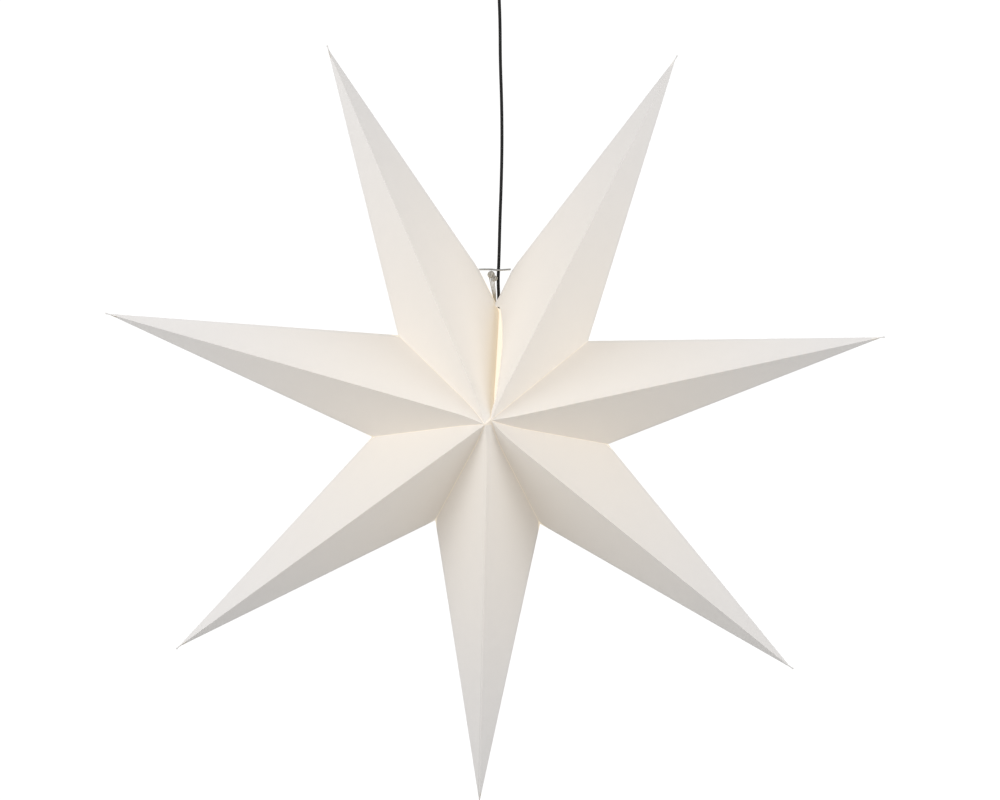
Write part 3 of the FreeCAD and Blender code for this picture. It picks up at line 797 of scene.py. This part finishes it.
def lip_mesh(panel):
    """The left flap's margin, which runs on behind the right flap."""
    sizes = panel.sizes
    shape = bmesh.new()
    valley = panel.notch - panel.hub
    row = []
    for step in range(LIP_STEPS + 1):
        along = LIP_START + LIP_LENGTH * step / LIP_STEPS
        row.append(shape.verts.new(panel.bent(panel.hub + valley * along)))
    edges = [shape.edges.new(pair) for pair in zip(row, row[1:])]
    made = bmesh.ops.extrude_edge_only(shape, edges=edges)["geom"]
    far_row = [item for item in made if isinstance(item, bmesh.types.BMVert)]
    for vert in far_row:
        along = min(1.0, max(0.0, (vert.co - panel.hub).dot(valley) / valley.length_squared))
        share = LIP_NARROW + (1 - LIP_NARROW) * math.sin(math.pi * along ** LIP_ROUND)
        vert.co -= (panel.from_slit * sizes.lip_width + panel.outward * sizes.lip_depth) * share
    bmesh.ops.subdivide_edges(shape, edges=shape.edges[:], cuts=2, use_grid_fill=True)
    bmesh.ops.translate(shape, verts=shape.verts[:], vec=-panel.outward * sizes.thickness * 1.5)
    bmesh.ops.recalc_face_normals(shape, faces=shape.faces[:])
    bmesh.ops.solidify(shape, geom=shape.faces[:], thickness=-sizes.thickness)
    return shape


# -------- operators


# The camera's sideways and upward shift, and the sizes of the floor and the backdrop.
CAMERA_SHIFT = (0.0012, 0.0137)
FLOOR_RADIUS = 2.2
BACKDROP_RADIUS = 9.0

# Soft lights: which one, where it stands and how long its side is.
SOFTBOXES = (
    ("left", (-1.75, -1.35, 0.20), 1.5),
    ("right", (1.75, -1.35, 0.20), 1.5),
    ("back", (0.0, 2.2, 0.30), 1.8),
)


class STAR_OT_stage(bpy.types.Operator):
    """Camera, soft lights, pale floor and white backdrop"""

    bl_idname = "paper_star.stage"
    bl_label = "Stage"

    def execute(self, context):
        sizes = context.scene.paper_star.stage
        self.camera(context.scene, sizes)
        self.lights(context.scene, sizes)
        self.surfaces(sizes)
        context.scene.view_settings.view_transform = "Standard"
        return {"FINISHED"}

    def aimed(self, scene, data, place, direction):
        """A camera or a light that looks along a direction."""
        thing = bpy.data.objects.new(data.name, data)
        thing.location = place
        thing.rotation_mode = "QUATERNION"
        thing.rotation_quaternion = direction.to_track_quat("-Z", "Y")
        scene.collection.objects.link(thing)
        return thing

    def camera(self, scene, sizes):
        target = Vector((0.0, 0.0, round(STAR_CENTRE.z, 2)))
        back = Vector((
            math.sin(sizes.azimuth) * math.cos(sizes.elevation),
            -math.cos(sizes.azimuth) * math.cos(sizes.elevation),
            math.sin(sizes.elevation),
        ))
        data = bpy.data.cameras.new("camera")
        data.lens = sizes.lens
        data.shift_x, data.shift_y = CAMERA_SHIFT
        scene.camera = self.aimed(scene, data, target + back * sizes.distance, -back)

    def lights(self, scene, sizes):
        for name, place, side in SOFTBOXES:
            self.softbox(scene, name + "_light", place, side, getattr(sizes, name + "_power"))
        world = bpy.data.worlds.new("even_light")
        world.use_nodes = True
        background = world.node_tree.nodes["Background"].inputs
        background["Color"].default_value = (1.0, 0.995, 0.985, 1.0)
        background["Strength"].default_value = sizes.ambient
        scene.world = world

    def softbox(self, scene, name, place, side, power):
        """A square light aimed at the star."""
        data = bpy.data.lights.new(name, "AREA")
        data.size = side
        data.energy = power
        data.color = (1.0, 0.99, 0.975)
        self.aimed(scene, data, place, STAR_CENTRE - Vector(place)).visible_camera = False

    def surfaces(self, sizes):
        floor_shape = bmesh.new()
        bmesh.ops.create_circle(floor_shape, cap_ends=True, segments=96, radius=FLOOR_RADIUS)
        bmesh.ops.translate(floor_shape, verts=floor_shape.verts[:], vec=(0, 0, -sizes.floor_drop))
        floor = object_from(floor_shape, "floor")
        pale = Finish("pale_floor", roughness=0.7)
        pale.feed(base_color=pale.blend(pale.noise(3.0), (0.70, 0.70, 0.69), (0.74, 0.74, 0.73)))
        floor.data.materials.append(pale.material)
        shell = bmesh.new()
        bmesh.ops.create_uvsphere(shell, u_segments=48, v_segments=24, radius=BACKDROP_RADIUS)
        bmesh.ops.reverse_faces(shell, faces=shell.faces[:])
        backdrop = object_from(shell, "backdrop")
        white = Finish(
            "white_backdrop",
            base_color=(0.0, 0.0, 0.0, 1.0),
            emission_color=(1.0, 1.0, 1.0, 1.0),
            emission_strength=1.05,
        )
        backdrop.data.materials.append(white.material)
        for flag in ("visible_diffuse", "visible_glossy", "visible_transmission", "visible_shadow"):
            setattr(backdrop, flag, False)


class STAR_OT_cord(bpy.types.Operator):
    """Black mains cord between the ceiling ball and the lampholder's grip"""

    bl_idname = "paper_star.cord"
    bl_label = "Cord"

    def execute(self, context):
        sizes = context.scene.paper_star.cord
        spots = [(x, 0.0, z) for x, z in reversed(CORD_ROUTE)]
        cord = round_line("mains_cord", spots, sizes.diameter / 2, 6, 12)
        cord.data.materials.append(black_sheath(sizes))
        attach(cord, "hanging_cord")
        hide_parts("cord")
        return {"FINISHED"}


class STAR_OT_panels(bpy.types.Operator):
    """The 28 triangles of folded card"""

    bl_idname = "paper_star.panels"
    bl_label = "Panels"

    def execute(self, context):
        sizes = context.scene.paper_star.paper
        plain, seamed = card_outside(sizes), card_outside(sizes, seam=True)
        inner = lamplit_card("card_inside", sizes, sizes.inside, INSIDE_GLOW)
        strip = lamplit_card("glowing_lip", sizes, sizes.lip, LIP_GLOW)
        for point in POINTS:
            for side in SIDES:
                node = point + "_" + side
                outer = seamed if node == "bottom_front_cw" else plain
                piece = object_from(panel_mesh(Panel(point, side, sizes)), node + "_card")
                settle(piece, "sheet_" + node, (outer, inner), 40, (node,))
        for side in ("front_cw", "back_cw"):
            node = "left_top_" + side
            lip = object_from(lip_mesh(Panel("left_top", side, sizes)), node + "_lip")
            settle(lip, "sheet_" + node, (strip,), 40)
        return {"FINISHED"}


class STAR_OT_tips(bpy.types.Operator):
    """The flattened end of each point, and the staple in the bottom one"""

    bl_idname = "paper_star.tips"
    bl_label = "Tips"

    def execute(self, context):
        sizes = context.scene.paper_star
        card = pressed_card(sizes.paper)
        for order, point in enumerate(POINTS):
            body = "pendant" if point == "bottom" else "arm_" + point
            nib = self.tab(point, order)
            fitted(nib, point + "_nib", body, card, 35, point + "_tip")
        past_tip, half_width, height, radius = 0.0012, 0.0024, 0.0008, 0.00035
        outward = (tip_of("bottom") - STAR_CENTRE).normalized()
        across = STAR_AXIS.cross(outward)
        place = tip_of("bottom") + outward * past_tip
        front = -STAR_AXIS * height
        bends = ((-1, 0), (-1, 1), (0, 1.15), (1, 1), (1, 0))
        spots = [place + across * half_width * side + front * rise for side, rise in bends]
        staple = rod("bottom_staple", spots, radius)
        settle(staple, "pendant", (drawn_wire(sizes.hanger),), 60)
        return {"FINISHED"}

    def tab(self, point, order):
        """A pressed strip that pinches in, flares at its end and bends a little."""
        outward = (tip_of(point) - STAR_CENTRE).normalized()
        across = STAR_AXIS.cross(outward)
        corners = [vert.co for vert in NODES[point + "_tip"].data.vertices]
        reaches = [(corner - STAR_CENTRE).dot(outward) for corner in corners]
        start, end = min(reaches), max(reaches)
        widest, pinch, pinch_end = 0.00125, 0.0006, 0.7
        flare, flare_start, flare_length = 0.0005, 0.72, 0.28
        thick, thinning, most_lean = 0.0006, 0.0002, 0.0009
        shape = bmesh.new()
        bmesh.ops.create_cube(shape, size=1.0)
        long_edges = [edge for edge in shape.edges if abs(edge.verts[0].co.x - edge.verts[1].co.x) > 0.5]
        bmesh.ops.subdivide_edges(shape, edges=long_edges, cuts=11, use_grid_fill=True)
        lean = most_lean * math.sin(2.4 * order + 1.0)
        for vert in shape.verts:
            share = vert.co.x + 0.5
            half_width = widest - pinch * smooth(share / pinch_end)
            half_width += flare * smooth((share - flare_start) / flare_length)
            half_depth = thick - thinning * smooth(share)
            reach = start + (end - start) * share
            bend = lean * share * share
            vert.co = (
                STAR_CENTRE
                + outward * reach
                + across * (2 * vert.co.y * half_width + bend)
                + STAR_AXIS * (2 * vert.co.z * half_depth)
            )
        bmesh.ops.recalc_face_normals(shape, faces=shape.faces[:])
        round_edges(shape, 0.8, 0.00015, 2, False)
        return shape


class STAR_OT_hanger(bpy.types.Operator):
    """Wire bar across the top notch, and the knotted string under it"""

    bl_idname = "paper_star.hanger"
    bl_label = "Hanger"

    def execute(self, context):
        sizes = context.scene.paper_star.hanger
        low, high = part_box("hanger_bar")
        middle = (low + high) / 2
        step = sizes.bar_step / 2
        slope = 0.004
        arm = 0.35
        along = (
            (low.x, 0.9 * step),
            (low.x + arm * (middle.x - low.x), step),
            (middle.x - slope, step),
            (middle.x, 0.0),
            (middle.x + slope, -step),
            (high.x - arm * (high.x - middle.x), 0.3 * step),
            (high.x, step),
        )
        spots = [(x, middle.y, middle.z + rise) for x, rise in along]
        bar = rod("hanger_wire_bar", spots, sizes.bar_radius)
        settle(bar, "pendant", (drawn_wire(sizes),), 50, ("hanger_bar",))
        self.string(sizes)
        return {"FINISHED"}

    def string(self, sizes):
        """Loops round the knot, and strands from it down to the notch."""
        low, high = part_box("tie_string")
        knot_radius = (high.y - low.y) / 2
        knot = Vector((low.x + knot_radius, (low.y + high.y) / 2, high.z - knot_radius))
        strand = sizes.strand_radius
        loop = knot_radius - 1.6 * strand
        pieces = []
        lower = Vector((0.9, 0.0, -1.1)) * knot_radius
        upper_turns = ((0.2, 1.0, 0), (1.2, 0.85, 0), (2.1, 0.95, 0), (2.9, 0.6, 0))
        lower_turns = ((0.6, 0.8, 1), (1.7, 0.7, 1), (2.6, 0.8, 1))
        steps = 9
        wave = 0.35
        for turn, (tilt, share, lump) in enumerate(upper_turns + lower_turns):
            lean = Matrix.Rotation(tilt, 3, (0.3, 0.2, 1.0))
            ring = []
            for step in range(steps):
                turned_by = 2 * math.pi * step / steps
                depth = wave * math.sin(2 * turned_by + turn)
                spot = Vector((math.cos(turned_by), depth, math.sin(turned_by))) * loop * share
                ring.append(knot + lower * lump + lean @ spot)
            pieces.append(rod("knot_loop_%d" % turn, ring, strand * 2.2, closed=True))
        below, spread, sag, stagger = 0.016, 0.0010, 0.0006, 0.0004
        foot = Vector((high.x - strand, knot.y, low.z - below))
        for count in range(4):
            side = (count - 1.5) / 1.5
            start = knot + Vector((side * 0.6 * knot_radius, 0.0, -0.3 * knot_radius))
            middle = (start + foot) / 2 + Vector((spread * side, sag * math.cos(count * 2.0), 0.0))
            end = foot + Vector((side * 1.1 * strand - strand, 0.0, stagger * count))
            pieces.append(rod("strand_%d" % count, (start, middle, end), strand))
        string = joined("tie_string_knot", pieces)
        settle(string, "pendant", (twisted_string(sizes),), 60, ("tie_string",))


class STAR_OT_lampholder(bpy.types.Operator):
    """Fluted lampholder shell, ribbed cord grip and ceramic insert"""

    bl_idname = "paper_star.lampholder"
    bl_label = "Lampholder"

    def execute(self, context):
        sizes = context.scene.paper_star.lamp
        gloss = black_plastic("holder_black", sizes.plastic, 700.0, 0.22)
        shell = self.shell(sizes)
        fitted(shell, "lampholder_shell", "pendant", gloss, 35, "holder_shell")
        satin = black_plastic("grip_black", sizes.plastic, 900.0, 0.42)
        fitted(self.grip(), "ribbed_cord_grip", "pendant", satin, 35, "cord_grip")
        dress("holder_insert", unglazed_ceramic())
        return {"FINISHED"}

    def shell(self, sizes):
        """Shouldered tube with a skirt bead and flutes round its middle."""
        foot, radius, tall = round_node("holder_shell")
        wall = 0.0016
        outside = [(0.0, tall), (radius - 2 * wall, tall), (radius, tall - 2 * wall)]
        flute_top, flute_bottom = 0.80 * tall, 0.34 * tall
        rows = 8
        drop = flute_top - flute_bottom
        outside += [(radius, flute_top - drop * row / rows) for row in range(rows + 1)]
        outside += [(radius - 0.4 * wall, 0.30 * tall), (radius - 0.4 * wall, 0.26 * tall)]
        outside += [(radius, 0.22 * tall), (radius, 0.0)]
        inside = [(radius - wall, 0.0), (radius - wall, tall - 2.5 * wall)]
        inside += [(radius - 2.5 * wall, tall - wall), (0.0, tall - wall)]
        edge_round, flute_end = 0.0004, 0.004
        shape = turned(outside + inside, (0, 0, foot), 6 * sizes.flutes, edge_round)
        skin = radius - 0.25 * wall
        depth, count = sizes.flute_depth, sizes.flutes
        grooved(shape, foot, skin, flute_bottom, flute_top, flute_end, depth, count)
        return shape

    def grip(self):
        """Tapered strain relief with rounded ribs."""
        foot, radius, tall = round_node("cord_grip")
        tip = 0.5 * radius
        straight, first_rib, ribbed = 0.28, 0.32, 0.6
        profile = [(0.0, 0.0), (radius, 0.0), (radius, straight * tall)]
        ribs, groove, edge_round = 6, 0.0006, 0.0002
        for rib in range(ribs):
            for share, depth in ((0.1, 0.0), (0.45, 0.0), (0.6, groove), (0.9, groove)):
                height = first_rib + ribbed * (rib + share) / ribs
                cone = radius + (tip - radius) * (height - straight) / (1 - straight)
                profile.append((cone - depth, height * tall))
        profile += [(tip, tall), (0.0, tall)]
        return turned(profile, (0, 0, foot), 48, edge_round)


class STAR_OT_bulb(bpy.types.Operator):
    """Screw cap with its thread, and the lit opal globe"""

    bl_idname = "paper_star.bulb"
    bl_label = "Bulb"

    def execute(self, context):
        sizes = context.scene.paper_star.lamp
        nickel = plated_metal("cap_nickel", (0.66, 0.62, 0.56), (1.0, 1.0, 0.05))
        fitted(self.cap(sizes), "threaded_bulb_cap", "bulb", nickel, 50, "bulb_cap")
        opal = lit_opal(sizes)
        fitted(self.globe(), "opal_globe", "bulb", opal, 60, "bulb_globe")
        return {"FINISHED"}

    def cap(self, sizes):
        """A shell whose wall winds in and out along the thread, with a contact at its top."""
        foot, radius, tall = round_node("bulb_cap")
        wall_top = 0.78 * tall
        contact = 0.42 * radius
        thread_end = 0.002
        rows = 60
        profile = [(0.0, 0.0)] + [(radius, wall_top * row / rows) for row in range(rows + 1)]
        profile += [(0.8 * radius, 0.86 * tall), (contact, 0.90 * tall)]
        profile += [(contact, 0.95 * tall), (0.36 * radius, 0.99 * tall), (0.0, tall)]
        shape = turned(profile, (0, 0, foot), 64)
        climb = 2 * math.pi / sizes.thread_pitch
        grooved(shape, foot, 0.99 * radius, 0.0, wall_top, thread_end, sizes.thread_depth, 1, climb)
        return shape

    def globe(self):
        """Round globe that runs smoothly into its neck, as a thin closed shell."""
        foot, radius, tall = round_node("bulb_globe")
        neck = round_node("bulb_cap")[1]
        glass = 0.001
        middle = foot + radius
        waist, waist_turn = 0.62 * neck, 0.24
        sweep = math.pi - math.asin(waist / radius) - waist_turn
        steps = 40
        turns = [sweep * step / steps for step in range(steps + 1)]
        outside = [(radius * math.sin(turn), -radius * math.cos(turn)) for turn in turns]
        top = foot + tall - middle
        outside += [(neck * 1.12, top * 0.86), (neck, top * 0.93), (neck, top)]
        inside = []
        for reach, height in reversed(outside):
            inside.append((max(0.0, reach - glass), height + (glass if not reach else 0.0)))
        return turned(outside + inside, (0, 0, middle), 72)


class STAR_OT_ceiling(bpy.types.Operator):
    """Ceiling cup, ball, bracket, screws and terminal block"""

    bl_idname = "paper_star.ceiling"
    bl_label = "Ceiling fitting"

    def execute(self, context):
        sizes = context.scene.paper_star.lamp
        satin = black_plastic("cup_black", sizes.plastic, 500.0, 0.40)
        fitted(self.cup(), "moulded_ceiling_cup", "root", satin, 40, "ceiling_cup")
        dress("cord_ball", black_plastic("ball_black", sizes.plastic, 900.0, 0.30))
        dress("ceiling_bracket", plated_metal("bracket_zinc", (0.56, 0.57, 0.56), (0.05, 1.0, 1.0)))
        screw = plated_metal("screw_zinc", (0.60, 0.60, 0.59), (1.0, 1.0, 1.0))
        fitted(self.screws(), "slotted_cup_screws", "root", screw, 40, "cup_screws")
        dress("terminal_block", pale_plastic())
        return {"FINISHED"}

    def cup(self):
        """Round cup with a rounded floor, a shallow ring step and a rim bead."""
        foot, radius, tall = round_node("ceiling_cup")
        hole = 0.0068
        wall = 0.0016
        fillet = 0.006
        ring = 0.0005
        bead = 0.0004
        arc = [
            (radius - fillet + fillet * math.sin(turn), fillet - fillet * math.cos(turn))
            for turn in [math.pi / 2 * step / 10 for step in range(11)]
        ]
        outside = [(hole, 0.0), (0.42 * radius, 0.0), (0.44 * radius, ring)]
        outside += [(0.60 * radius, ring), (0.62 * radius, 0.0)] + arc
        outside += [(radius, 0.82 * tall), (radius - bead, 0.84 * tall), (radius - bead, 0.87 * tall)]
        outside += [(radius, 0.89 * tall), (radius, tall)]
        inside = [(radius - wall, tall), (radius - wall, fillet), (radius - fillet, wall)]
        inside += [(hole, wall), (hole, 0.0)]
        return turned(outside + inside, (0, 0, foot), 128)

    def screws(self):
        """Two slotted screws with domed heads, through the cup's wall into the bracket."""
        low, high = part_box("cup_screws")
        height = (low.z + high.z) / 2
        head = (high.z - low.z) / 2
        shank, long, rim, rise, sunk = 0.0014, 0.006, 0.0006, 0.001, 0.0019
        slot = Matrix.Translation((0, 0, rim + rise)) @ Matrix.Diagonal((1.7 * head, 0.0007, 0.0006, 1.0))
        turns = [math.pi / 2 * step / 6 for step in range(7)]
        dome = [(head * math.cos(turn), rim + rise * math.sin(turn)) for turn in turns]
        profile = [(0.0, -0.0068), (0.0011, -0.0066), (shank, -long), (shank, 0.0), (head, 0.0)] + dome
        shape = bmesh.new()
        for side in (-1, 1):
            outer = high.x if side > 0 else low.x
            screw = turned(profile, (0, 0, 0), 40)
            bmesh.ops.create_cube(screw, size=1.0, matrix=slot)
            turn = Matrix.Rotation(math.pi / 2 * side, 4, "Y")
            place = Matrix.Translation((outer - side * sunk, 0, height)) @ turn
            bmesh.ops.transform(screw, matrix=place, verts=screw.verts[:])
            made = bpy.data.meshes.new("screw")
            screw.to_mesh(made)
            screw.free()
            shape.from_mesh(made)
            bpy.data.meshes.remove(made)
        return shape


class STAR_PT_sidebar(bpy.types.Panel):
    """Buttons for every piece of the star"""

    bl_label = "Paper star"
    bl_idname = "STAR_PT_sidebar"
    bl_space_type = "VIEW_3D"
    bl_region_type = "UI"
    bl_category = "Paper star"

    def draw(self, context):
        for operator in OPERATORS:
            self.layout.operator(operator.bl_idname)


OPERATORS = (
    STAR_OT_stage,
    STAR_OT_cord,
    STAR_OT_panels,
    STAR_OT_tips,
    STAR_OT_hanger,
    STAR_OT_lampholder,
    STAR_OT_bulb,
    STAR_OT_ceiling,
)
GROUPS = (PaperSizes, HangerSizes, CordSizes, LampSizes, StageSizes, PaperStarSettings)


def register():
    for group in GROUPS + OPERATORS + (STAR_PT_sidebar,):
        bpy.utils.register_class(group)
    bpy.types.Scene.paper_star = PointerProperty(type=PaperStarSettings)


def unregister():
    del bpy.types.Scene.paper_star
    for group in reversed(GROUPS + OPERATORS + (STAR_PT_sidebar,)):
        bpy.utils.unregister_class(group)


def main():
    for thing in list(bpy.data.objects):
        if thing.type in {"CAMERA", "LIGHT"} or thing.name == "Cube":
            bpy.data.objects.remove(thing)
    register()
    bpy.ops.paper_star.stage()
    bpy.ops.paper_star.cord()
    bpy.ops.paper_star.panels()
    bpy.ops.paper_star.tips()
    bpy.ops.paper_star.hanger()
    bpy.ops.paper_star.lampholder()
    bpy.ops.paper_star.bulb()
    bpy.ops.paper_star.ceiling()


if __name__ == "__main__":
    main()
